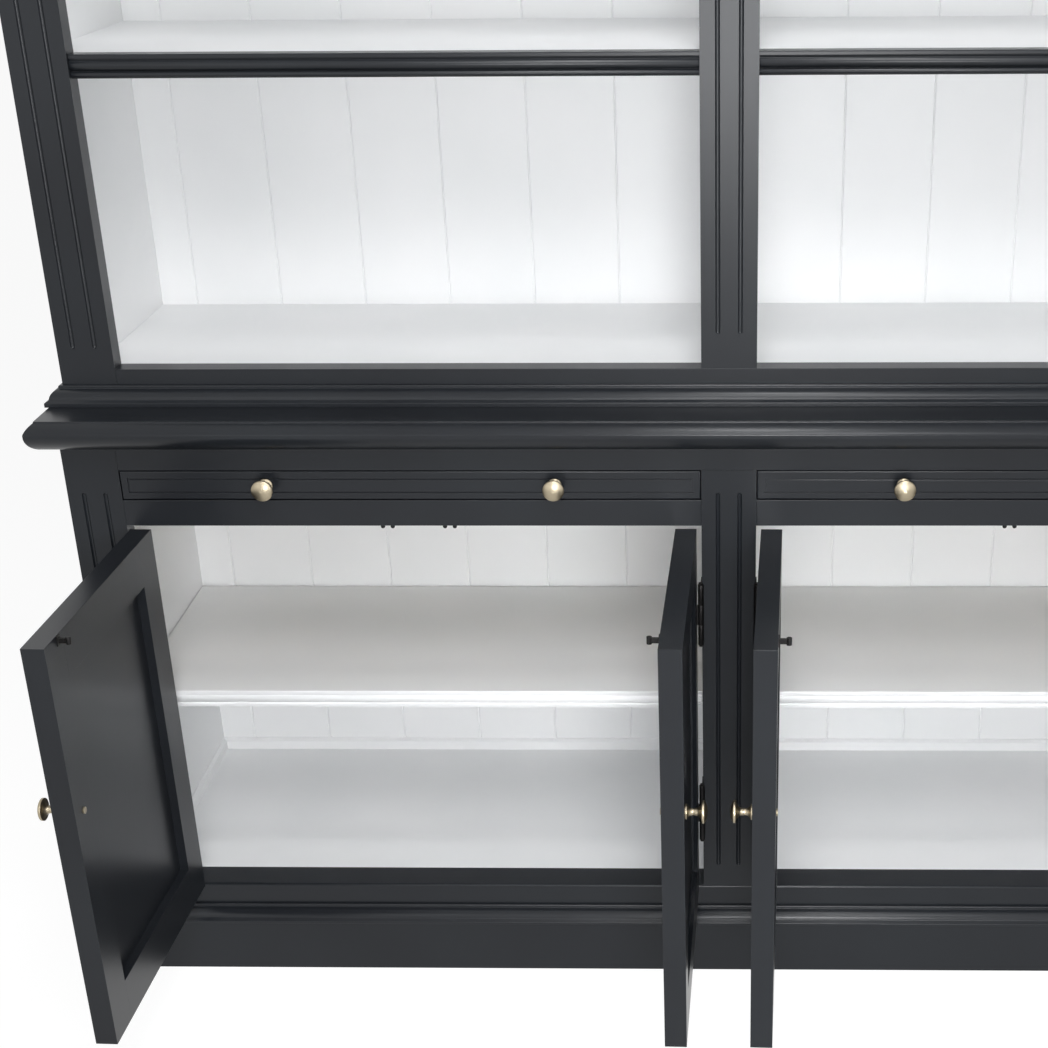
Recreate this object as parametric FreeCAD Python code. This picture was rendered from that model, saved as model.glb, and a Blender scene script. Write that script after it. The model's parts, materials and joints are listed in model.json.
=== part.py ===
import FreeCAD, Part
import math
import os

# A library bookcase in two parts: a base cabinet with four doors and two wide drawers,
# and an open upper case of shelves that stands on its countertop.
# Millimetres. X runs along the width, +Y to the back and +Z up. The origin is on the floor,
# under the middle of the base cabinet. Everything is drawn closed, then the doors are swung open.

Vector = FreeCAD.Vector
UP = Vector(0, 0, 1)

# The two cases
case_width = 1744.0
base_depth = 434.0
total_height = 2300.0
upper_setback = 47.0
side_thickness = 26.0
partition_thickness = 18.0
back_thickness = 9.0
back_low_edge = 40.0
top_board_thickness = 20.0
top_board_drop = 12.0

# Face frames
frame_thickness = 28.0
stile_width = 72.0
flute_width = 6.0
flute_depth = 2.5
flute_spacing = 28.6
base_flute_low_margin = 38.5
base_flute_top_margin = 74.0
upper_flute_low_margin_outer = 30.0
upper_flute_low_margin_centre = 48.0
upper_flute_top_margin = 45.0

# Heights in the base cabinet
plinth_height = 79.0
plinth_projection = 20.0
plinth_moulding_height = 23.0
plinth_moulding_reach = 21.5
plinth_moulding_lip = 3.5
floor_top = 134.0
floor_thickness = 18.0
sill_depth = 19.0
sill_round = 3.5
top_rail_height = 40.0
drawer_opening_height = 41.0
drawer_rail_height = 36.0
drawer_rail_depth = 70.0
rear_board_thickness = 18.0
bearer_thickness = 20.0
floor_bead_height = 19.0
floor_bead_thickness = 6.0
floor_bead_bevel = 4.0

# Countertop
counter_top = 848.0
counter_thickness = 37.0
counter_front_overhang = 45.0
counter_side_overhang = 28.0
nose_reach = 16.0
nose_drop = 16.0
nose_step_inset = 12.0
nose_step_height = 2.0
nose_upper_swell = 1.1
nose_tip_inset = 0.8
nose_tip_rise = 3.0
nose_tip_swell = 0.2
nose_under_inset = 12.0
nose_under_swell = 3.7

# Upper case
upper_rail_height = 45.0
upper_floor_drop = 10.0
upper_moulding_height = 25.0
upper_moulding_reach = 21.0
upper_moulding_lip = 5.5
frieze_height = 110.0
first_shelf_rise = 388.0
upper_shelf_thickness = 20.0

# Nosing of an upper shelf: two beads under a flat cap
nosing_height = 28.0
nosing_setback = 3.5
nosing_foot = 1.0
nosing_lower_bead = 6.5
nosing_lower_swell = 2.5
nosing_groove = 1.4
nosing_upper_bead = 11.3
nosing_upper_swell = 3.5
nosing_bead_inset = 4.0
nosing_cap = 4.5
nosing_cap_inset = 2.0
nosing_arris = 1.0

# Cornice, from its foot up: foot, hollow, round and cap
cornice_height = 62.0
cornice_reach = 48.0
cornice_foot_reach = 6.0
cornice_foot_height = 5.0
cornice_fillet = 4.0
cornice_hollow = 6.0
cornice_hollow_reach = 35.0
cornice_hollow_height = 41.0
cornice_round_reach = 7.0
cornice_round_swell = 2.0
cornice_cap_height = 7.0
cornice_cap_step = 1.0

# Slope, swell and fillet that the two base mouldings share
moulding_slope_reach = 5.2
moulding_slope_height = 3.2
moulding_swell = 2.6
moulding_fillet_reach = 4.8
moulding_fillet_height = 4.2
moulding_arris = 1.3

# Grooved backs
groove_pitch = 126.0
groove_first = 37.0
groove_width = 3.0
groove_depth = 2.0

# Shelves in the base
base_shelf_top = 429.0
base_shelf_thickness = 18.0
base_nosing_height = 24.5
base_nosing_depth = 12.0
base_nosing_foot = 5.0
base_nosing_bead = 12.0
base_nosing_bead_inset = 2.0
base_nosing_bead_swell = 2.5
base_nosing_arris = 1.0
base_shelf_setback = 41.0
base_shelf_side_gap = 0.8
base_shelf_back_gap = 4.0
pin_radius = 2.5
pin_in_wood = 8.0
pin_under_shelf = 9.0
pin_front_inset = 45.0
pin_back_inset = 45.0

# Doors
door_thickness = 28.0
door_stile = 54.0
door_rail = 60.0
door_gap = 2.0
door_meeting_gap = 3.0
panel_thickness = 8.0
panel_setback = 8.0
panel_tongue = 8.0
panel_play = 0.2
panel_bevel = 5.0
open_angles = {"door_1": 92.0, "door_2": 88.6, "door_3": 92.1, "door_4": 91.0}

# Butt hinges
hinge_length = 88.0
hinge_inset = 82.0
hinge_leaf_width = 22.0
hinge_leaf_thickness = 1.4
hinge_gap = 3.0
hinge_pin_forward = 5.0
knuckle_radius = 4.0
knuckle_play = 0.3
hinge_pin_radius = 1.6
hinge_pin_play = 0.05
hinge_pin_head_radius = 2.8
hinge_pin_head_height = 2.5

# Roller catches, each with a strike on its door
catch_offset = 42.0
catch_width = 22.0
catch_depth = 16.0
catch_sheet = 1.5
roller_radius = 3.0
roller_length = 17.5
strike_drop = 7.0
strike_width = 10.0
strike_plate_thickness = 1.2
strike_plate_height = 12.0
strike_reach = 15.5
strike_nose_radius = 3.2
strike_nose_length = 9.0
strike_neck_width = 3.4
strike_neck_height = 6.5
strike_play = 0.4

# Knobs
knob_reach = 27.0
knob_radius = 14.0
knob_foot_radius = 9.5
knob_foot_thickness = 2.0
knob_foot_rise = 9.5
knob_foot_hollow = 1.5
knob_neck_radius = 4.2
knob_neck_length = 5.5
knob_neck_flare = 1.0
knob_head_hollow = 1.5
knob_head_thickness = 3.0
knob_dome = 4.0
screw_radius = 2.0
screw_play = 0.2
screw_thread_play = 0.05
screw_into_knob = 14.0
screw_head_radius = 4.5
screw_head_height = 2.2
door_knob_height = 466.0
door_knob_edge_inset = 26.0
drawer_knob_spacing = 380.0

# Drawers and what they run on
drawer_gap = 1.0
drawer_front_thickness = 20.0
drawer_side_thickness = 12.0
drawer_side_height = 30.0
drawer_bottom_thickness = 4.0
drawer_bottom_drop = 4.0
drawer_back_gap = 65.0
drawer_bead_inset = 9.0
drawer_bead_width = 3.0
drawer_bead_depth = 2.0
drawer_edge_round = 2.0
runner_play = 0.3
runner_width = 24.0
runner_thickness = 20.0
kicker_play = 1.2

# How far a cutting shape stands past the piece that it cuts
cut_margin = 1.0

# Places that follow from the sizes above
half_width = case_width / 2
face = -base_depth / 2
rear = base_depth / 2
panel_front = rear - back_thickness
frame_back = face + frame_thickness
upper_face = face + upper_setback
upper_frame_back = upper_face + frame_thickness
bay_outer = half_width - stile_width
bay_inner = stile_width / 2
inside_outer = half_width - side_thickness
inside_inner = partition_thickness / 2
bay_centre = (bay_outer + bay_inner) / 2
counter_low = counter_top - counter_thickness
drawer_opening_high = counter_low - top_rail_height
drawer_opening_low = drawer_opening_high - drawer_opening_height
door_opening_top = drawer_opening_low - drawer_rail_height
floor_low = floor_top - floor_thickness
upper_rail_top = counter_top + upper_rail_height
upper_opening_top = total_height - frieze_height
upper_floor_top = upper_rail_top - upper_floor_drop
upper_floor_low = upper_floor_top - floor_thickness
case_top = total_height - top_board_drop
top_board_low = case_top - top_board_thickness
first_shelf_top = upper_rail_top + first_shelf_rise
drawer_low = drawer_opening_low + drawer_gap
drawer_high = drawer_opening_high - drawer_gap
runner_top = drawer_low - runner_play
sill_back = frame_back + sill_depth

SIDES = {"left": -1, "right": 1}
SHELF_ROWS = ("low", "middle", "high")


def save(name, *solids):
    # Writes one node: one solid, or a group of separate solids.
    shape = solids[0] if len(solids) == 1 else Part.makeCompound(list(solids))
    shape.exportStep("parts/" + name + ".step")


def block(x_range, y_range, z_range):
    # A board between two planes in each direction, given in either order.
    low = [min(pair) for pair in (x_range, y_range, z_range)]
    high = [max(pair) for pair in (x_range, y_range, z_range)]
    return Part.makeBox(high[0] - low[0], high[1] - low[1], high[2] - low[2], Vector(*low))


def rod(radius, start, end):
    # A round bar from one point to another.
    along = end - start
    return Part.makeCylinder(radius, along.Length, start, along)


def section(outline, place):
    # A face from an outline: (out, z) ends a straight edge, and (out, z, bulge) ends an arc
    # whose middle stands that far to the right of the way the outline runs.
    edges = []
    last = outline[0]
    for step in outline[1:] + outline[:1]:
        start, end = place(last[0], last[1]), place(step[0], step[1])
        if len(step) == 3:
            run, rise = step[0] - last[0], step[1] - last[1]
            share = step[2] / math.hypot(run, rise)
            middle = place((last[0] + step[0]) / 2 + rise * share, (last[1] + step[1]) / 2 - run * share)
            edges.append(Part.Arc(start, middle, end).toShape())
        else:
            edges.append(Part.LineSegment(start, end).toShape())
        last = step
    return Part.Face(Part.Wire(edges))


def prism(corners, low, high):
    # An upright solid over a flat outline of straight sides.
    points = [Vector(x, y, low) for x, y in corners]
    return Part.Face(Part.makePolygon(points + points[:1])).extrude(Vector(0, 0, high - low))


def front_run(outline, half_length, front):
    # A moulding across the front, with its outline measured outwards from the plane it lies on.
    ends = section(outline, lambda out, z: Vector(-half_length, front - out, z))
    return ends.extrude(Vector(2 * half_length, 0, 0))


def wrap_round(outline, half_length, front, back, reach):
    # A moulding across the front and along both sides, mitred where they meet.
    low = min(step[1] for step in outline) - cut_margin
    high = max(step[1] for step in outline) + cut_margin
    tip = half_length + reach
    mitre = [(-half_length, front), (half_length, front), (tip, front - reach), (-tip, front - reach)]
    pieces = [front_run(outline, tip, front).common(prism(mitre, low, high))]
    for side in SIDES.values():
        def place(out, z):
            return Vector(side * (half_length + out), front - reach, z)
        run = section(outline, place).extrude(Vector(0, back - front + reach, 0))
        mitre = [(side * half_length, front), (side * tip, front - reach), (side * tip, back),
                 (side * half_length, back)]
        pieces.append(run.common(prism(mitre, low, high)))
    return [piece.Solids[0] for piece in pieces]


def base_moulding(low, height, reach, lip):
    # Lip, slope, a swelling stretch, and a fillet with its arris taken off, from the bottom up.
    top = low + height
    fillet = moulding_fillet_reach
    return [
        (0, low), (reach, low), (reach, low + lip),
        (reach - moulding_slope_reach, low + lip + moulding_slope_height),
        (fillet, top - moulding_fillet_height, moulding_swell),
        (fillet, top - moulding_arris), (fillet - moulding_arris, top), (0, top),
    ]


def fluted_stile(x_range, front, z_range, flute_range):
    # A face frame stile with two stopped flutes down its front.
    stile = block(x_range, (front, front + frame_thickness), z_range)
    radius = (flute_width**2 / 4 + flute_depth**2) / (2 * flute_depth)
    y = front + flute_depth - radius
    middle = sum(x_range) / 2
    for side in SIDES.values():
        x = middle + side * flute_spacing / 2
        low, high = (Vector(x, y, z) for z in flute_range)
        stile = stile.cut(rod(radius, low, high))
        for end in (low, high):
            stile = stile.cut(Part.makeSphere(radius, end))
    return stile


def grooved_back(z_range):
    # A back panel with upright V grooves at the board spacing.
    panel = block((-inside_outer, inside_outer), (panel_front, rear), z_range)
    x = groove_first
    while x < inside_outer - groove_width:
        for side in SIDES.values():
            corners = [(side * x - groove_width / 2, panel_front),
                       (side * x + groove_width / 2, panel_front),
                       (side * x, panel_front + groove_depth)]
            panel = panel.cut(prism(corners, *z_range))
        x += groove_pitch
    return panel


def knob(centre, depth):
    # A turned knob on the face at centre, pointing to -Y, and the screw through a board of that depth.
    x, y, z = centre
    shoulder = knob_reach - knob_dome - knob_head_thickness
    dome_radius = (knob_radius**2 + knob_dome**2) / (2 * knob_dome)
    dome_swell = dome_radius * (1 - math.cos(math.asin(knob_radius / dome_radius) / 2))
    outline = [
        (0, 0), (knob_foot_radius, 0), (knob_foot_radius, knob_foot_thickness),
        (knob_neck_radius, knob_foot_rise, -knob_foot_hollow),
        (knob_neck_radius + knob_neck_flare, knob_foot_rise + knob_neck_length),
        (knob_radius, shoulder, -knob_head_hollow), (knob_radius, shoulder + knob_head_thickness),
        (0, knob_reach, dome_swell),
    ]
    turned = section(outline, lambda out, along: Vector(x + out, y - along, z))
    head = turned.revolve(Vector(x, y, z), Vector(0, 1, 0), 360)
    tip = Vector(x, y - screw_into_knob, z)
    head = head.cut(rod(screw_radius + screw_thread_play, Vector(x, y, z), tip))
    seat = Vector(x, y + depth, z)
    screw = rod(screw_radius, tip, seat).fuse(
        rod(screw_head_radius, seat, seat + Vector(0, screw_head_height, 0)))
    return [head.Solids[0], screw.removeSplitter().Solids[0]]


def screw_hole(centre, depth):
    # The hole that a knob's screw passes through.
    x, y, z = centre
    return rod(screw_radius + screw_play, Vector(x, y - cut_margin, z),
               Vector(x, y + depth + cut_margin, z))


def hinge_heights():
    # The low end of each of a door's two hinges.
    return (floor_top + hinge_inset, door_opening_top - hinge_inset - hinge_length)


def knuckle_spans(low):
    # The three knuckles of a hinge: the outer two are the case's and the middle one is the door's.
    third = hinge_length / 3
    trim = knuckle_play / 2
    spans = [(low + n * third + trim, low + (n + 1) * third - trim) for n in range(3)]
    return {"case": (spans[0], spans[2]), "door": (spans[1],)}


def hinge_leaf(edge, away, owner, low):
    # One leaf of a butt hinge with its knuckles. edge is the X of the opening's edge.
    pin_x = edge + away * hinge_gap / 2
    pin_y = face - hinge_pin_forward
    near = 0.0 if owner == "case" else hinge_gap - hinge_leaf_thickness
    x_range = (edge + away * near, edge + away * (near + hinge_leaf_thickness))
    leaf = block(x_range, (face, face + hinge_leaf_width), (low, low + hinge_length))
    for z_low, z_high in knuckle_spans(low)[owner]:
        leaf = leaf.fuse(block(x_range, (pin_y, face), (z_low, z_high)))
        leaf = leaf.fuse(rod(knuckle_radius, Vector(pin_x, pin_y, z_low), Vector(pin_x, pin_y, z_high)))
    bore = rod(hinge_pin_radius + hinge_pin_play, Vector(pin_x, pin_y, low - cut_margin),
               Vector(pin_x, pin_y, low + hinge_length + cut_margin))
    return leaf.cut(bore).removeSplitter().Solids[0]


def hinge_pin(edge, away, low):
    # A pin through the three knuckles with a head on each end.
    x = edge + away * hinge_gap / 2
    y = face - hinge_pin_forward
    pin = rod(hinge_pin_radius, Vector(x, y, low), Vector(x, y, low + hinge_length))
    for start, end in ((low - hinge_pin_head_height, low),
                       (low + hinge_length, low + hinge_length + hinge_pin_head_height)):
        pin = pin.fuse(rod(hinge_pin_head_radius, Vector(x, y, start), Vector(x, y, end)))
    return pin.removeSplitter().Solids[0]


def make_plinth():
    outline = [(0, 0), (plinth_projection, 0), (plinth_projection, plinth_height), (0, plinth_height)]
    save("plinth_boards", *wrap_round(outline, half_width, face, rear, plinth_projection))
    reach = plinth_moulding_reach
    outline = base_moulding(plinth_height, plinth_moulding_height, reach, plinth_moulding_lip)
    save("plinth_moulding", *wrap_round(outline, half_width, face, rear, reach))
    rear_board_front = panel_front - rear_board_thickness
    rear_board = block((-inside_outer, inside_outer), (rear_board_front, panel_front), (0, floor_low))
    half = bearer_thickness / 2
    save("floor_bearer", block((-half, half), (frame_back, rear_board_front), (0, floor_low)))
    save("rear_plinth_board", rear_board)


def pin_places():
    # Y and Z of the pins that carry a base shelf.
    z = base_shelf_top - base_shelf_thickness - pin_radius
    front = face + base_shelf_setback + pin_front_inset
    return [(front, z), (panel_front - pin_back_inset, z)]


def shelf_pins():
    # Every pin, from its hole in a side or in the partition to under the shelf.
    pins = []
    for side in SIDES.values():
        for wall, inward in ((side * inside_outer, -side), (side * inside_inner, side)):
            for y, z in pin_places():
                pins.append(rod(pin_radius, Vector(wall - inward * pin_in_wood, y, z),
                                Vector(wall + inward * pin_under_shelf, y, z)))
    return pins


def drill(board, pins):
    # Takes the pins' holes out of a board.
    for pin in pins:
        board = board.cut(pin)
    return board


def make_base_carcass():
    pins = shelf_pins()
    sides = [block((side * inside_outer, side * half_width), (frame_back, rear), (0, counter_low))
             for side in SIDES.values()]
    save("base_sides", *(drill(side, pins) for side in sides))
    partition = block((-inside_inner, inside_inner), (frame_back, panel_front), (floor_top, counter_low))
    relief = block((-inside_inner, inside_inner), (frame_back, face + drawer_rail_depth),
                   (door_opening_top, drawer_opening_low))
    save("base_partition", drill(partition, pins).cut(relief))
    save("base_floor", block((-inside_outer, inside_outer), (sill_back, panel_front),
                             (floor_low, floor_top)))
    save("base_back_panel", grooved_back((back_low_edge, counter_low)))
    save("shelf_pins", *pins)


def front_edges(board):
    # The edges that lie in a board's front face.
    return [edge for edge in board.Edges if edge.BoundBox.YMax < board.BoundBox.YMin + cut_margin]


def make_base_frame():
    flute_range = (floor_top + base_flute_low_margin, counter_low - base_flute_top_margin)
    for name, side in SIDES.items():
        save("base_stile_" + name,
             fluted_stile((side * bay_outer, side * half_width), face, (0, counter_low), flute_range))
    save("base_stile_centre",
         fluted_stile((-bay_inner, bay_inner), face, (floor_top, drawer_opening_high), flute_range))
    across = (-bay_outer, bay_outer)
    save("base_top_rail", block(across, (face, frame_back), (drawer_opening_high, counter_low)))
    rail = block(across, (face, frame_back), (plinth_height, floor_top))
    arris = [edge for edge in front_edges(rail) if edge.BoundBox.ZMin > floor_low]
    rail = rail.makeFillet(sill_round, arris)
    sill = block((-inside_outer, inside_outer), (frame_back, sill_back), (floor_low, floor_top))
    save("base_bottom_rail", rail.fuse(sill).removeSplitter().Solids[0])
    rails = []
    for side in SIDES.values():
        rail = block((side * bay_inner, side * bay_outer), (face, face + drawer_rail_depth),
                     (door_opening_top, drawer_opening_low))
        wing = block((0, side * inside_outer), (frame_back, face + drawer_rail_depth),
                     (door_opening_top, drawer_opening_low))
        rails.append(rail.fuse(wing).removeSplitter().Solids[0])
    save("drawer_rails", *rails)


def make_floor_beads():
    # Bevelled battens round the sides and back of each base compartment.
    beads = []
    top = floor_top + floor_bead_height
    for side in SIDES.values():
        near, far = side * inside_inner, side * inside_outer
        outline = [(0, floor_top), (floor_bead_thickness, floor_top),
                   (floor_bead_thickness, top - floor_bead_bevel),
                   (floor_bead_thickness - floor_bead_bevel, top), (0, top)]
        back = section(outline, lambda out, z: Vector(near, panel_front - out, z))
        beads.append(back.extrude(Vector(far - near, 0, 0)))
        length = panel_front - floor_bead_thickness - sill_back
        for wall, inward in ((near, side), (far, -side)):
            def place(out, z):
                return Vector(wall + inward * out, sill_back, z)
            beads.append(section(outline, place).extrude(Vector(0, length, 0)))
    save("base_floor_beads", *beads)


def make_countertop():
    half = half_width + counter_side_overhang - nose_reach
    front = face - counter_front_overhang + nose_reach
    outline = [
        (0, counter_low), (nose_reach - nose_under_inset, counter_low),
        (nose_reach, counter_top - nose_drop, nose_under_swell),
        (nose_reach - nose_tip_inset, counter_top - nose_drop + nose_tip_rise, nose_tip_swell),
        (nose_reach - nose_step_inset, counter_top - nose_step_height, nose_upper_swell),
        (nose_reach - nose_step_inset, counter_top), (0, counter_top),
    ]
    top = block((-half, half), (front, rear), (counter_low, counter_top))
    for piece in wrap_round(outline, half, front, rear, nose_reach):
        top = top.fuse(piece)
    save("countertop", top.removeSplitter().Solids[0])


def base_shelf_nosing(low, depth):
    # The white nosing's outline: a bead between two flats.
    arris = base_nosing_arris
    root, top = depth - base_nosing_bead_inset, low + base_nosing_height
    bead_low = low + base_nosing_foot + arris
    bead_high = bead_low + base_nosing_bead
    return [(0, low), (depth, low), (depth, low + base_nosing_foot), (root, bead_low),
            (root, bead_high, base_nosing_bead_swell), (root + arris, bead_high + arris),
            (root + arris, top - arris), (root, top), (0, top)]


def make_base_shelves():
    front = face + base_shelf_setback
    low = base_shelf_top - base_nosing_height
    for name, side in SIDES.items():
        near = side * (inside_inner + base_shelf_side_gap)
        far = side * (inside_outer - base_shelf_side_gap)
        y_range = (front + base_nosing_depth, panel_front - base_shelf_back_gap)
        board = block((near, far), y_range, (base_shelf_top - base_shelf_thickness, base_shelf_top))
        outline = base_shelf_nosing(low, base_nosing_depth)
        nosing = section(outline, lambda out, z: Vector(near, front + base_nosing_depth - out, z))
        save("base_shelf_" + name, board, nosing.extrude(Vector(far - near, 0, 0)))


def catch_line():
    # The Y at which a shut door's strike stands between its catch's rollers.
    return face + door_thickness + strike_reach - strike_nose_radius


def make_catches():
    # A plate with two upright round-ended rollers under the drawer rail, for each door.
    y = catch_line()
    plate_low = door_opening_top - catch_sheet
    spread = strike_nose_radius + strike_play + roller_radius
    pieces = []
    for side in SIDES.values():
        for away in SIDES.values():
            x = side * bay_centre + away * catch_offset
            pieces.append(block((x - catch_width / 2, x + catch_width / 2),
                                (y - catch_depth / 2, y + catch_depth / 2),
                                (plate_low, door_opening_top)))
            for step in (-spread, spread):
                end = Vector(x + step, y, plate_low - roller_length + roller_radius)
                roller = rod(roller_radius, end, Vector(x + step, y, plate_low))
                roller = roller.fuse(Part.makeSphere(roller_radius, end))
                pieces.append(roller.removeSplitter().Solids[0])
    save("roller_catches", *pieces)


def hinge_edges():
    # For each door: the X of the opening's edge that it hangs on, and the way it reaches when shut.
    return {"door_1": (-bay_outer, 1), "door_2": (-bay_inner, -1),
            "door_3": (bay_inner, 1), "door_4": (bay_outer, -1)}


def make_case_hinges():
    pieces = []
    for edge, away in hinge_edges().values():
        for low in hinge_heights():
            pieces.append(hinge_leaf(edge, away, "case", low))
            pieces.append(hinge_pin(edge, away, low))
    save("case_hinge_leaves", *pieces)


def door_panel_tool(u_range, z_range, at):
    # The cut that bevels the inner arris of a door's frame on the outside.
    (u0, u1), (z0, z1) = u_range, z_range
    wires = []
    for y, spread in ((face - cut_margin, panel_bevel + cut_margin), (face + panel_bevel, 0)):
        corners = [(u0 - spread, z0 - spread), (u1 + spread, z0 - spread),
                   (u1 + spread, z1 + spread), (u0 - spread, z1 + spread)]
        points = [Vector(at(u), y, z) for u, z in corners]
        wires.append(Part.makePolygon(points + points[:1]))
    return Part.makeLoft(wires, True, True)


def make_strike(x, door_high):
    # The plate on a door's back, with a neck and an upright round nose that its catch holds.
    back = face + door_thickness
    z = door_high - strike_drop
    plate = block((x - strike_width / 2, x + strike_width / 2), (back, back + strike_plate_thickness),
                  (z - strike_plate_height / 2, z + strike_plate_height / 2))
    neck = block((x - strike_neck_width / 2, x + strike_neck_width / 2), (back, catch_line()),
                 (z - strike_neck_height / 2, z + strike_neck_height / 2))
    nose = rod(strike_nose_radius, Vector(x, catch_line(), z - strike_nose_length / 2),
               Vector(x, catch_line(), z + strike_nose_length / 2))
    return plate.fuse(neck).fuse(nose).removeSplitter().Solids[0]


def make_door(name, edge, away):
    # One door, drawn shut with u as the distance from the edge that it hangs on, then swung open.
    def at(u):
        return edge + away * u
    low, high = floor_top + door_gap, door_opening_top - door_gap
    width = (bay_outer - bay_inner - 2 * hinge_gap - door_meeting_gap) / 2
    start, end = hinge_gap, hinge_gap + width
    inner = (start + door_stile, end - door_stile)
    inner_z = (low + door_rail, high - door_rail)
    y_range = (face, face + door_thickness)
    centre = Vector(at(end - door_knob_edge_inset), face, door_knob_height)

    frame = [block((at(start), at(inner[0])), y_range, (low, high)),
             block((at(inner[1]), at(end)), y_range, (low, high)),
             block((at(inner[0]), at(inner[1])), y_range, (low, inner_z[0])),
             block((at(inner[0]), at(inner[1])), y_range, (inner_z[1], high))]
    panel_y = (face + panel_setback, face + panel_setback + panel_thickness)
    housing = block((at(inner[0] - panel_tongue), at(inner[1] + panel_tongue)), panel_y,
                    (inner_z[0] - panel_tongue, inner_z[1] + panel_tongue))
    bevel = door_panel_tool(inner, inner_z, at)
    frame = [piece.cut(housing).cut(bevel).cut(screw_hole(centre, door_thickness)) for piece in frame]
    sunk = panel_tongue - panel_play
    panel = block((at(inner[0] - sunk), at(inner[1] + sunk)),
                  (panel_y[0] + panel_play, panel_y[1] - panel_play),
                  (inner_z[0] - sunk, inner_z[1] + sunk))

    strike = make_strike(at(bay_centre - bay_inner - catch_offset), high)
    leaves = [hinge_leaf(edge, away, "door", z) for z in hinge_heights()]

    groups = {"frame": [piece.Solids[0] for piece in frame], "panel": [panel],
              "knob": knob(centre, door_thickness), "hinges_and_strike": leaves + [strike]}
    pin = Vector(edge + away * hinge_gap / 2, face - hinge_pin_forward, 0)
    for part, solids in groups.items():
        for solid in solids:
            solid.rotate(pin, UP, -away * open_angles[name])
        save(name + "_" + part, *solids)


def make_runners():
    # A bearer under each drawer side, a guide beside it and a kicker over it.
    pieces = []
    y_range = (face + drawer_rail_depth, panel_front)
    guide_high = drawer_low + drawer_side_height
    for side in SIDES.values():
        for wall, opening, inward in ((side * inside_inner, side * bay_inner, side),
                                      (side * inside_outer, side * bay_outer, -side)):
            under = opening + inward * (drawer_gap + runner_width)
            pieces.append(block((wall, under), y_range, (runner_top - runner_thickness, runner_top)))
            pieces.append(block((wall, opening), y_range, (runner_top, guide_high)))
            pieces.append(block((wall, under), y_range,
                                (guide_high + kicker_play, guide_high + kicker_play + runner_thickness)))
    save("drawer_runners", *pieces)


def make_drawer(name, side):
    near, far = side * (bay_inner + drawer_gap), side * (bay_outer - drawer_gap)
    x_low, x_high = sorted((near, far))
    front = block((x_low, x_high), (face, face + drawer_front_thickness), (drawer_low, drawer_high))
    front = front.makeFillet(drawer_edge_round, front_edges(front))
    inset, line = drawer_bead_inset, drawer_bead_width
    depth = (face - cut_margin, face + drawer_bead_depth)
    ring = block((x_low + inset, x_high - inset), depth, (drawer_low + inset, drawer_high - inset)).cut(
        block((x_low + inset + line, x_high - inset - line), depth,
              (drawer_low + inset + line, drawer_high - inset - line)))
    front = front.cut(ring)
    knobs = []
    for step in (-drawer_knob_spacing / 2, drawer_knob_spacing / 2):
        centre = Vector(side * bay_centre + step, face, (drawer_low + drawer_high) / 2)
        front = front.cut(screw_hole(centre, drawer_front_thickness))
        knobs += knob(centre, drawer_front_thickness)
    save(name + "_front", front.Solids[0])
    save(name + "_knobs", *knobs)

    box_front, box_back = face + drawer_front_thickness, panel_front - drawer_back_gap
    z_range = (drawer_low, drawer_low + drawer_side_height)
    inner = (x_low + drawer_side_thickness, x_high - drawer_side_thickness)
    bottom_low = drawer_low + drawer_bottom_drop
    box = [block((x_low, inner[0]), (box_front, box_back), z_range),
           block((inner[1], x_high), (box_front, box_back), z_range),
           block(inner, (box_back - drawer_side_thickness, box_back), z_range),
           block(inner, (box_front, box_back - drawer_side_thickness),
                 (bottom_low, bottom_low + drawer_bottom_thickness))]
    save(name + "_box", *box)


def make_upper_carcass():
    y_range = (upper_frame_back, panel_front)
    save("upper_sides", *(block((side * inside_outer, side * half_width), (upper_frame_back, rear),
                                (counter_top, case_top)) for side in SIDES.values()))
    inside = (-inside_outer, inside_outer)
    save("upper_floor", block(inside, y_range, (upper_floor_low, upper_floor_top)))
    save("upper_top_board", block(inside, y_range, (top_board_low, case_top)))
    save("upper_partition", block((-inside_inner, inside_inner), y_range,
                                  (upper_floor_top, top_board_low)))
    save("upper_back_panel", grooved_back((counter_top, case_top)))


def make_upper_frame():
    flute_high = upper_opening_top - upper_flute_top_margin
    outer_flutes = (upper_rail_top + upper_flute_low_margin_outer, flute_high)
    centre_flutes = (upper_rail_top + upper_flute_low_margin_centre, flute_high)
    for name, side in SIDES.items():
        save("upper_stile_" + name, fluted_stile((side * bay_outer, side * half_width), upper_face,
                                                 (counter_top, case_top), outer_flutes))
    save("upper_stile_centre", fluted_stile((-bay_inner, bay_inner), upper_face,
                                            (upper_rail_top, upper_opening_top), centre_flutes))
    y_range = (upper_face, upper_frame_back)
    save("upper_bottom_rail", block((-bay_outer, bay_outer), y_range, (counter_top, upper_rail_top)))
    save("frieze_rail", block((-bay_outer, bay_outer), y_range, (upper_opening_top, case_top)))
    reach = upper_moulding_reach
    outline = base_moulding(counter_top, upper_moulding_height, reach, upper_moulding_lip)
    save("upper_base_moulding", *wrap_round(outline, half_width, upper_face, rear, reach))


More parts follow.
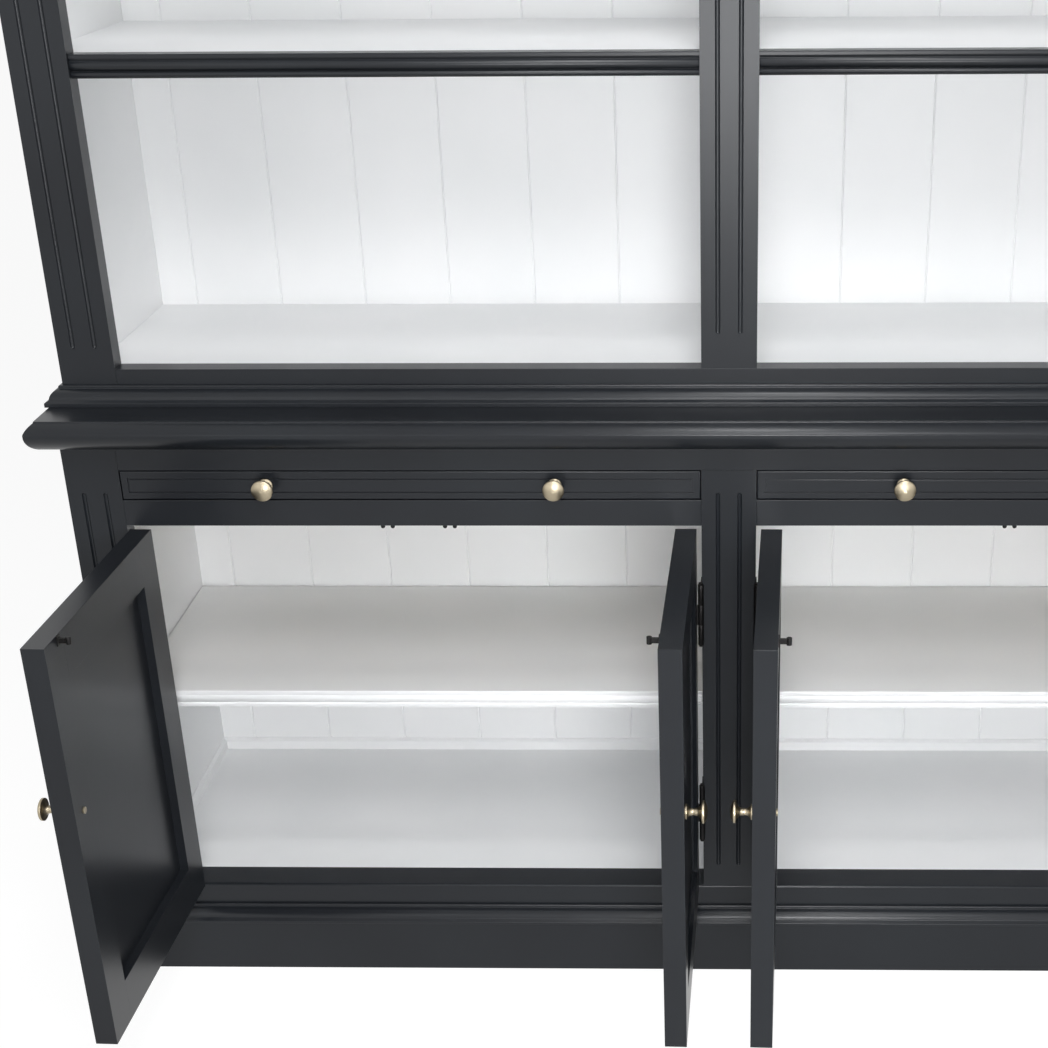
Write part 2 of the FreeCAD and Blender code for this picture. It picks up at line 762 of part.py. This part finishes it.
def make_cornice():
    low, high, reach = total_height - cornice_height, total_height, cornice_reach
    foot_top = low + cornice_foot_height
    hollow_foot = cornice_foot_reach + cornice_fillet
    hollow_top = low + cornice_hollow_height
    cap_low = high - cornice_cap_height
    round_foot = reach - cornice_cap_step - cornice_round_reach
    outline = [
        (0, low), (cornice_foot_reach, low), (cornice_foot_reach, foot_top),
        (hollow_foot, foot_top + cornice_fillet),
        (cornice_hollow_reach, hollow_top, -cornice_hollow),
        (cornice_hollow_reach, hollow_top + cornice_fillet),
        (round_foot, hollow_top + cornice_fillet),
        (reach - cornice_cap_step, cap_low, cornice_round_swell),
        (reach, cap_low + cornice_cap_step), (reach, high), (0, high),
    ]
    save("cornice", *wrap_round(outline, half_width, upper_face, rear, reach))


def upper_shelf_nosing(low):
    # The black nosing's outline: two beads with a groove between them under a flat top.
    front = frame_thickness - nosing_setback
    root, cap = front - nosing_bead_inset, front - nosing_cap_inset
    top = low + nosing_height
    first = low + nosing_foot
    second = first + nosing_lower_bead + nosing_groove
    return [(0, low), (root, low), (root, first), (root, first + nosing_lower_bead, nosing_lower_swell),
            (root - nosing_groove, second - nosing_groove / 2), (root, second),
            (root, second + nosing_upper_bead, nosing_upper_swell), (cap, top - nosing_cap),
            (cap, top - nosing_arris), (cap - nosing_arris, top), (0, top)]


def make_upper_shelves():
    # Rows of shelves at equal heights over the first, each a board behind the face frame
    # with a nosing between the stiles.
    nosings = []
    spacing = (top_board_low - first_shelf_top) / len(SHELF_ROWS)
    for row, level in enumerate(SHELF_ROWS):
        top = first_shelf_top + row * spacing
        low = top - nosing_height
        outline = upper_shelf_nosing(low)
        boards = []
        for side in SIDES.values():
            boards.append(block((side * inside_inner, side * inside_outer),
                                (upper_frame_back, panel_front), (top - upper_shelf_thickness, top)))
            near, far = side * bay_inner, side * bay_outer
            ends = section(outline, lambda out, z: Vector(near, upper_frame_back - out, z))
            nosings.append(ends.extrude(Vector(far - near, 0, 0)))
        save("upper_shelf_" + level, *boards)
    save("upper_shelf_nosings", *nosings)


os.makedirs("parts", exist_ok=True)
make_plinth()
make_base_carcass()
make_base_frame()
make_floor_beads()
make_countertop()
make_base_shelves()
make_catches()
make_case_hinges()
for door_name, (door_edge, door_away) in hinge_edges().items():
    make_door(door_name, door_edge, door_away)
make_runners()
for side_name, side_sign in SIDES.items():
    make_drawer("drawer_" + side_name, side_sign)
make_upper_carcass()
make_upper_frame()
make_cornice()
make_upper_shelves()
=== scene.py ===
import json
import math

import bpy
from mathutils import Matrix, Vector


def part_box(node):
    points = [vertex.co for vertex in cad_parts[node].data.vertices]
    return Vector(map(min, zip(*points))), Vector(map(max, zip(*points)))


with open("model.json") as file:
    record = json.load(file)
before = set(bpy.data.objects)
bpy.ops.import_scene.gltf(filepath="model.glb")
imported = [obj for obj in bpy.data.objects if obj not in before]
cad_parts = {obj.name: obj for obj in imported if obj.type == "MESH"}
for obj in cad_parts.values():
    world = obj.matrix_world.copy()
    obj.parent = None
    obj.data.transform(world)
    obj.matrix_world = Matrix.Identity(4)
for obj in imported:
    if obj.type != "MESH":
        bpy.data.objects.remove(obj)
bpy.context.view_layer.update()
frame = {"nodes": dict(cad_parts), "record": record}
nodes = frame["nodes"]
slotOf = {part["node"]: part["material_slot"] for part in frame["record"]["subparts"]}
print("frame loaded:", len(nodes), "nodes")

mm = 0.001
plainWhite = (1, 1, 1, 1)

# The Mix node's sockets go by number: 2 and 3 take two numbers, 6 and 7 two colours
mixNumbers, mixColours = (2, 3), (6, 7)

# How many rays look for an edge or a hollow near each point
samples = {"edge": 4, "hollow": 8}


def toLinear(hexText):
    # sRGB hex to the linear colour that the nodes take
    values = [int(hexText[i:i + 2], 16) / 255 for i in (1, 3, 5)]
    return [v / 12.92 if v <= 0.04045 else ((v + 0.055) / 1.055) ** 2.4 for v in values] + [1.0]


def addNode(tree, kind, settings, links):
    # adds a node, a shader node by its short name: settings name its properties and sockets, links name
    # the sockets that are fed
    node = tree.nodes.new(kind if "Node" in kind else "ShaderNode" + kind)
    for name, value in settings.items():
        if isinstance(name, str) and hasattr(node, name):
            setattr(node, name, value)
        else:
            node.inputs[name].default_value = value
    for name, socket in links.items():
        tree.links.new(socket, node.inputs[name])
    return node.outputs


def stretch(tree, value, start, end=(0.0, 1.0)):
    # carries the values between two ends to two other ends, and stops there
    settings = {"From Min": start[0], "From Max": start[1], "To Min": end[0], "To Max": end[1]}
    return addNode(tree, "MapRange", settings, {"Value": value})[0]


def blend(tree, share, first, second):
    # a colour between two others, each given as a hex text or a socket
    settings, links = {"data_type": "RGBA"}, {0: share}
    for place, colour in zip(mixColours, (first, second)):
        if isinstance(colour, str):
            settings[place] = toLinear(colour)
        else:
            links[place] = colour
    return addNode(tree, "Mix", settings, links)[2]


def bump(tree, height, strength, depth, below=None):
    # the normal of a rough surface, over another rough surface's normal if there is one
    links = {"Height": height}
    if below is not None:
        links["Normal"] = below
    return addNode(tree, "Bump", {"Strength": strength, "Distance": depth}, links)[0]


def flatness(tree, radius):
    # 1 on a flat face, and less towards an edge that is nearer than the radius
    rounded = addNode(tree, "Bevel", {"samples": samples["edge"], "Radius": radius}, {})
    flat = addNode(tree, "NewGeometry", {}, {})
    links = {0: rounded[0], 1: flat["Normal"]}
    return addNode(tree, "VectorMath", {"operation": "DOT_PRODUCT"}, links)["Value"]


def seenRays(tree):
    # 1 for what the camera sees, straight, by a shine or through glass, and 0 for light on its way
    rays = addNode(tree, "LightPath", {}, {})
    largest = {"operation": "MAXIMUM"}
    shine = addNode(tree, "Math", largest, {0: rays["Is Camera Ray"], 1: rays["Is Glossy Ray"]})
    return addNode(tree, "Math", largest, {0: shine[0], 1: rays["Is Transmission Ray"]})[0]


def newMaterial(name):
    material = bpy.data.materials.new(name)
    material.use_nodes = True
    material.node_tree.nodes.clear()
    return material, material.node_tree


def addShader(tree, settings, colour, roughness, normal):
    links = {"Base Color": colour, "Roughness": roughness, "Normal": normal}
    shader = addNode(tree, "BsdfPrincipled", settings, links)
    addNode(tree, "OutputMaterial", {}, {"Surface": shader[0]})


# Camera: a pinhole fitted to the straight edges of the photo, with angles in degrees
camera = {
    "focalPixels": 1799.8,
    "centrePixels": (695.8, 704.1),
    "imagePixels": 1048,
    "pitch": 26.695,
    "yaw": -1.281,
    "roll": 0.461,
    "place": (0.00435, -2.44583, 1.55146),
    "sensor": 36.0,
    "farthest": 60,
}


def makeCamera():
    pitch, yaw, roll = (math.radians(camera[key]) for key in ("pitch", "yaw", "roll"))
    ahead = Vector((math.sin(yaw) * math.cos(pitch), math.cos(yaw) * math.cos(pitch), -math.sin(pitch)))
    right = Vector((math.cos(yaw), -math.sin(yaw), 0))
    down = ahead.cross(right)
    turnedRight = math.cos(roll) * right + math.sin(roll) * down
    turnedDown = math.cos(roll) * down - math.sin(roll) * right
    lens = bpy.data.cameras.new("camera")
    eye = bpy.data.objects.new("camera", lens)
    bpy.context.scene.collection.objects.link(eye)
    columns = Matrix((turnedRight, -turnedDown, -ahead)).transposed()
    eye.matrix_world = Matrix.Translation(camera["place"]) @ columns.to_4x4()
    side, middle = camera["imagePixels"], camera["imagePixels"] / 2
    lens.sensor_width = camera["sensor"]
    lens.lens = camera["focalPixels"] * camera["sensor"] / side
    lens.shift_x = (middle - camera["centrePixels"][0]) / side
    lens.shift_y = (camera["centrePixels"][1] - middle) / side
    lens.clip_end = camera["farthest"]
    bpy.context.scene.camera = eye


makeCamera()
print("camera placed")


# Lights: a small soft lamp over the counter, a large one high behind the camera, one beside the camera,
# a narrow faint one aimed at the plinth, and a broad one at each side
lamps = {
    "close": {"place": (0.0, -0.8, 2.5), "aim": (0, -0.2, 0.9), "size": 0.4, "watts": 8, "hex": "#FCFDFF"},
    "high": {"place": (0.1, -2.6, 3.4), "aim": (0, 0, 0.9), "size": 1.6, "watts": 49, "hex": "#FCFDFF"},
    "middle": {"place": (0.05, -2.5, 1.2), "aim": (0, 0, 0.5), "size": 0.9, "watts": 20, "hex": "#FCFDFF"},
    "low": {"place": (0.2, -3.0, 1.0), "aim": (0, 0, 0.3), "size": 0.8, "watts": 2.8, "hex": "#FCFDFF",
            "spread": 50},
    "left": {"place": (-2.6, -3.6, 1.7), "aim": (0, 0, 0.9), "size": 2.6, "watts": 13, "hex": "#FBFCFF"},
    "right": {"place": (2.6, -3.6, 1.7), "aim": (0, 0, 0.9), "size": 2.6, "watts": 14, "hex": "#FBFCFF"},
}
widestSpread = 180
room = {"hex": "#F3F6F8", "strength": 0.1}


def makeLamp(name, look):
    lamp = bpy.data.lights.new(name, "AREA")
    lamp.shape = "DISK"
    lamp.size = look["size"]
    lamp.energy = look["watts"]
    lamp.spread = math.radians(look.get("spread", widestSpread))
    lamp.color = toLinear(look["hex"])[:3]
    holder = bpy.data.objects.new(name, lamp)
    bpy.context.scene.collection.objects.link(holder)
    holder.location = look["place"]
    towards = Vector(look["aim"]) - holder.location
    holder.rotation_mode = "QUATERNION"
    holder.rotation_quaternion = towards.to_track_quat("-Z", "Y")


def makeRoom():
    # faint pale walls for the light, and plain white for the camera
    world = bpy.data.worlds.new("paleRoom")
    bpy.context.scene.world = world
    world.use_nodes = True
    tree = world.node_tree
    tree.nodes.clear()
    walls = addNode(tree, "Background", {"Color": toLinear(room["hex"]), "Strength": room["strength"]}, {})
    plain = addNode(tree, "Background", {"Color": plainWhite, "Strength": 1.0}, {})
    both = addNode(tree, "MixShader", {}, {0: seenRays(tree), 1: walls[0], 2: plain[0]})
    addNode(tree, "OutputWorld", {}, {"Surface": both[0]})


for lampName, lampLook in lamps.items():
    makeLamp(lampName, lampLook)
makeRoom()
bpy.context.scene.view_settings.view_transform = "Standard"
print("lights placed")


# Floor: plain pale, nearly white to the camera, and it keeps the shadow
floorLook = {"half": 14.0, "hex": "#A8A8A8", "seenHex": "#7A7A79", "lift": 0.92}


def makeFloor():
    mesh = bpy.data.meshes.new("floor")
    half = floorLook["half"]
    corners = [(-half, -half, 0), (half, -half, 0), (half, half, 0), (-half, half, 0)]
    mesh.from_pydata(corners, [], [(0, 1, 2, 3)])
    floor = bpy.data.objects.new("floor", mesh)
    bpy.context.scene.collection.objects.link(floor)
    material, tree = newMaterial("paleFloor")
    plain = addNode(tree, "BsdfDiffuse", {"Color": toLinear(floorLook["hex"])}, {})
    shaded = addNode(tree, "BsdfDiffuse", {"Color": toLinear(floorLook["seenHex"])}, {})
    glow = addNode(tree, "Emission", {"Color": plainWhite, "Strength": floorLook["lift"]}, {})
    pale = addNode(tree, "AddShader", {}, {0: shaded[0], 1: glow[0]})
    both = addNode(tree, "MixShader", {}, {0: seenRays(tree), 1: plain[0], 2: pale[0]})
    addNode(tree, "OutputMaterial", {}, {"Surface": both[0]})
    mesh.materials.append(material)


makeFloor()
print("floor laid")


# Most of a noise's values lie between these two
usual = (0.3, 0.7)

# What both paints share. The grain runs along a board, about 90 mm long and 3 mm across.
# "ragged" breaks the line of an arris's wear and painted highlight by the grain, and "edge" is where that
# arris tone starts and ends.
coat = {
    "grainAlong": {"x": (11, 330, 330), "z": (330, 330, 11)},
    "grain": {"Scale": 1.0, "Detail": 4.0, "Roughness": 0.6},
    "peel": {"Scale": 260.0, "Detail": 2.0},
    "cloud": {"Scale": 5.0, "Detail": 3.0, "Roughness": 0.5},
    "ragged": 0.03, "edge": (0.97, 0.86), "grainDepth": 0.4 * mm, "peelDepth": 0.2 * mm, "ior": 1.5,
}

# Satin black paint, sprayed on wood: a blue black with broad soft highlights, a faint grain and
# a light peel under the gloss, and arrises in a lighter grey that is partly rubbed wear and partly a
# painted highlight
blackPaint = {
    "hex": "#1D1F23", "paleHex": "#222529", "wearAndHighlightHex": "#35373A", "specular": 0.28,
    "roughness": (0.28, 0.291), "grainBump": 0.01, "peelBump": 0.03, "wearAndHighlightWidth": 1.2 * mm, "wearAndHighlightShare": 0.5,
}

# Satin white paint, sprayed on wood: a clean neutral white with a soft sheen, a faint grain, and
# arrises a little darker where the coat is thin
whitePaint = {
    "hex": "#F2F3F3", "paleHex": "#F7F7F7", "wearAndHighlightHex": "#E9E9E6", "specular": 0.5,
    "roughness": (0.4, 0.43), "grainBump": 0.02, "peelBump": 0.04, "wearAndHighlightWidth": 1.0 * mm, "wearAndHighlightShare": 0.3,
}


def paint(tree, look, grain):
    # colour, roughness and normal of a sprayed satin paint over wood
    place = addNode(tree, "TexCoord", {}, {})["Object"]
    along = addNode(tree, "Mapping", {"Scale": coat["grainAlong"][grain]}, {"Vector": place})[0]
    streaks = addNode(tree, "TexNoise", coat["grain"], {"Vector": along})["Fac"]
    peel = addNode(tree, "TexNoise", coat["peel"], {"Vector": place})["Fac"]
    cloud = addNode(tree, "TexNoise", coat["cloud"], {"Vector": place})["Fac"]
    level = {"operation": "MULTIPLY_ADD", 1: coat["ragged"], 2: -coat["ragged"] / 2}
    ragged = addNode(tree, "Math", level, {0: streaks})[0]
    edge = addNode(tree, "Math", {"operation": "ADD"}, {0: flatness(tree, look["wearAndHighlightWidth"]), 1: ragged})[0]
    # Along the arrises the colour turns to the arris hex: a lighter grey on the black paint, partly wear
    # and partly a painted highlight, and a little darker on the white paint, where the coat is thin
    wearAndHighlight = stretch(tree, edge, coat["edge"], (0.0, look["wearAndHighlightShare"]))
    body = blend(tree, stretch(tree, cloud, usual), look["hex"], look["paleHex"])
    colour = blend(tree, wearAndHighlight, body, look["wearAndHighlightHex"])
    roughness = stretch(tree, streaks, usual, look["roughness"])
    grained = bump(tree, streaks, look["grainBump"], coat["grainDepth"])
    normal = bump(tree, peel, look["peelBump"], coat["peelDepth"], grained)
    return colour, roughness, normal


def makePaint(name, look, grain):
    material, tree = newMaterial(name)
    colour, roughness, normal = paint(tree, look, grain)
    settings = {"IOR": coat["ior"], "Specular IOR Level": look["specular"]}
    addShader(tree, settings, colour, roughness, normal)
    return material


# A side board: black outside, so that the case reads as one dark piece, and white inside, so that
# the shelves stay bright. The two part in the middle of its thickness.
sideBoard = {"halfThickness": 13 * mm}


def makeTwoTone(name):
    material, tree = newMaterial(name)
    darkColour, darkRoughness, normal = paint(tree, blackPaint, "z")
    paleColour, paleRoughness = paint(tree, whitePaint, "z")[:2]
    place = addNode(tree, "TexCoord", {}, {})["Object"]
    across = addNode(tree, "SeparateXYZ", {}, {0: place})[0]
    reach = addNode(tree, "Math", {"operation": "ABSOLUTE"}, {0: across})[0]
    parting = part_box("base_sides")[1].x - sideBoard["halfThickness"]
    outer = addNode(tree, "Math", {"operation": "GREATER_THAN", 1: parting}, {0: reach})[0]
    colour = blend(tree, outer, paleColour, darkColour)
    links = {0: outer, mixNumbers[0]: paleRoughness, mixNumbers[1]: darkRoughness}
    roughness = addNode(tree, "Mix", {"data_type": "FLOAT"}, links)[0]
    settings = {"IOR": coat["ior"], "Specular IOR Level": blackPaint["specular"]}
    addShader(tree, settings, colour, roughness, normal)
    return material


# Antique brass, turned and lacquered: a pale worn gold with soft bright spots on the round of a knob,
# over a brown patina that stays dark in the hollows of its neck
brass = {
    "hex": "#A59A84", "patinaHex": "#3B342A", "roughness": (0.3, 0.46), "bump": 0.06, "bumpDepth": 0.2 * mm,
    "hollow": 6 * mm, "mottle": {"Scale": 160.0, "Detail": 4.0, "Roughness": 0.6}, "mottled": 0.35,
    "bright": (0.75, 1.12),
}


def makeBrass():
    material, tree = newMaterial("antiqueBrass")
    place = addNode(tree, "TexCoord", {}, {})["Object"]
    mottle = addNode(tree, "TexNoise", brass["mottle"], {"Vector": place})["Fac"]
    closeBy = {"samples": samples["hollow"], "only_local": True, "Distance": brass["hollow"]}
    openness = addNode(tree, "AmbientOcclusion", closeBy, {})["AO"]
    level = {"operation": "MULTIPLY_ADD", 1: brass["mottled"]}
    shade = addNode(tree, "Math", level, {0: mottle, 2: openness})[0]
    colour = blend(tree, stretch(tree, shade, brass["bright"]), brass["patinaHex"], brass["hex"])
    roughness = stretch(tree, mottle, usual, brass["roughness"][::-1])
    normal = bump(tree, mottle, brass["bump"], brass["bumpDepth"])
    addShader(tree, {"Metallic": 1.0}, colour, roughness, normal)
    return material


# Bronzed steel, pressed and dipped: a brown black with a dull metal gleam, rubbed brighter on its edges
steel = {
    "hex": "#2A2929", "rubbedHex": "#55514D", "metallic": 0.85, "roughness": (0.36, 0.56), "bump": 0.08,
    "bumpDepth": 0.2 * mm, "mottle": {"Scale": 220.0, "Detail": 4.0}, "rubbedWidth": 0.5 * mm,
    "edge": (0.97, 0.85), "rubbed": 0.6,
}


def makeSteel():
    material, tree = newMaterial("bronzedSteel")
    place = addNode(tree, "TexCoord", {}, {})["Object"]
    mottle = addNode(tree, "TexNoise", steel["mottle"], {"Vector": place})["Fac"]
    rubbed = stretch(tree, flatness(tree, steel["rubbedWidth"]), steel["edge"], (0.0, steel["rubbed"]))
    colour = blend(tree, rubbed, steel["hex"], steel["rubbedHex"])
    roughness = stretch(tree, mottle, (0.0, 1.0), steel["roughness"])
    normal = bump(tree, mottle, steel["bump"], steel["bumpDepth"])
    addShader(tree, {"Metallic": steel["metallic"]}, colour, roughness, normal)
    return material


# Planed birch, unfinished, inside the drawers and under the floor: pale and matt, with soft growth
# rings about 6 mm apart that show that this wood was never painted
birch = {
    "earlyHex": "#E6DAC3", "lateHex": "#CFBB98", "roughness": (0.62, 0.75), "bump": 0.2,
    "bumpDepth": 0.2 * mm, "drawnOut": (0.25, 1.0, 1.0), "pores": {"Scale": 420.0, "Detail": 3.0},
    "porous": 0.3, "late": (0.3, 1.2), "ior": 1.5,
    "rings": {"bands_direction": "Z", "Scale": 50.0, "Distortion": 5.0, "Detail": 3.0, "Detail Scale": 1.2},
}


def makeBirch():
    material, tree = newMaterial("planedBirch")
    place = addNode(tree, "TexCoord", {}, {})["Object"]
    along = addNode(tree, "Mapping", {"Scale": birch["drawnOut"]}, {"Vector": place})[0]
    rings = addNode(tree, "TexWave", birch["rings"], {"Vector": along})["Fac"]
    pores = addNode(tree, "TexNoise", birch["pores"], {"Vector": along})["Fac"]
    level = {"operation": "MULTIPLY_ADD", 1: birch["porous"]}
    mixed = addNode(tree, "Math", level, {0: pores, 2: rings})[0]
    colour = blend(tree, stretch(tree, mixed, birch["late"]), birch["earlyHex"], birch["lateHex"])
    roughness = stretch(tree, pores, (0.0, 1.0), birch["roughness"])
    normal = bump(tree, mixed, birch["bump"], birch["bumpDepth"])
    addShader(tree, {"IOR": birch["ior"]}, colour, roughness, normal)
    return material


blackAlongX = makePaint("satinBlackPaintRail", blackPaint, "x")
blackAlongZ = makePaint("satinBlackPaintStile", blackPaint, "z")
whiteAlongX = makePaint("satinWhitePaintShelf", whitePaint, "x")
whiteAlongZ = makePaint("satinWhitePaintUpright", whitePaint, "z")
sidePaint = makeTwoTone("twoTonePaintSide")
bareOrMetal = {"bare_wood": makeBirch(), "antique_brass": makeBrass(), "dark_steel": makeSteel()}
print("materials made")


def materialFor(name):
    # the finish of each CAD node, from the record's slot and the way its boards run
    upright = any(word in name for word in ("stile", "partition", "back_panel", "door"))
    slot = slotOf[name]
    if name in ("base_sides", "upper_sides"):
        return sidePaint
    if slot == "black_paint":
        return blackAlongZ if upright else blackAlongX
    if slot == "white_paint":
        return whiteAlongZ if upright else whiteAlongX
    return bareOrMetal[slot]


# Broken arrises: sanded wood and pressed metal have no knife edges. Corners nearer than "join" become
# one, and faces within "flatWithin" degrees become one, so that each arris is drawn in one run.
arris = {
    "wood": 0.6 * mm, "metal": 0.25 * mm, "segments": 2, "sharperThan": 35, "flatWithin": 0.2,
    "join": 0.01 * mm,
}


# A face hidden where two boards of one node meet shares each of its edges: at least this many faces meet
# there. The Compare node's sockets 2 and 3 take its two whole numbers.
jointFaces = 3


def makeJointOpener():
    # takes the hidden faces out, so that the boards' surface runs on over the joint
    group = bpy.data.node_groups.new("openJoints", "GeometryNodeTree")
    for way in ("INPUT", "OUTPUT"):
        group.interface.new_socket("Geometry", in_out=way, socket_type="NodeSocketGeometry")
    start = addNode(group, "NodeGroupInput", {}, {})
    faces = addNode(group, "GeometryNodeInputMeshEdgeNeighbors", {}, {})
    atLeast = {"data_type": "INT", "operation": "GREATER_EQUAL", 3: jointFaces}
    many = addNode(group, "FunctionNodeCompare", atLeast, {2: faces["Face Count"]})
    onEdges = {"domain": "EDGE", "data_type": "BOOLEAN"}
    hidden = addNode(group, "GeometryNodeFieldOnDomain", onEdges, {0: many[0]})
    facesOnly = {"domain": "FACE", "mode": "ONLY_FACE"}
    links = {"Geometry": start[0], "Selection": hidden[0]}
    opened = addNode(group, "GeometryNodeDeleteGeometry", facesOnly, links)
    addNode(group, "NodeGroupOutput", {}, {0: opened[0]})
    return group


jointOpener = makeJointOpener()


def dressNodes():
    for name, piece in nodes.items():
        for holder in piece.material_slots:
            holder.material = materialFor(name)
        metal = slotOf[name] in ("antique_brass", "dark_steel")
        weld = piece.modifiers.new("weld", "WELD")
        weld.merge_threshold = arris["join"]
        flats = piece.modifiers.new("flats", "DECIMATE")
        flats.decimate_type = "DISSOLVE"
        flats.angle_limit = math.radians(arris["flatWithin"])
        joints = piece.modifiers.new("joints", "NODES")
        joints.node_group = jointOpener
        bevel = piece.modifiers.new("arris", "BEVEL")
        bevel.width = arris["metal"] if metal else arris["wood"]
        bevel.segments = arris["segments"]
        bevel.limit_method = "ANGLE"
        bevel.angle_limit = math.radians(arris["sharperThan"])
        bevel.harden_normals = True


dressNodes()
print("nodes dressed")
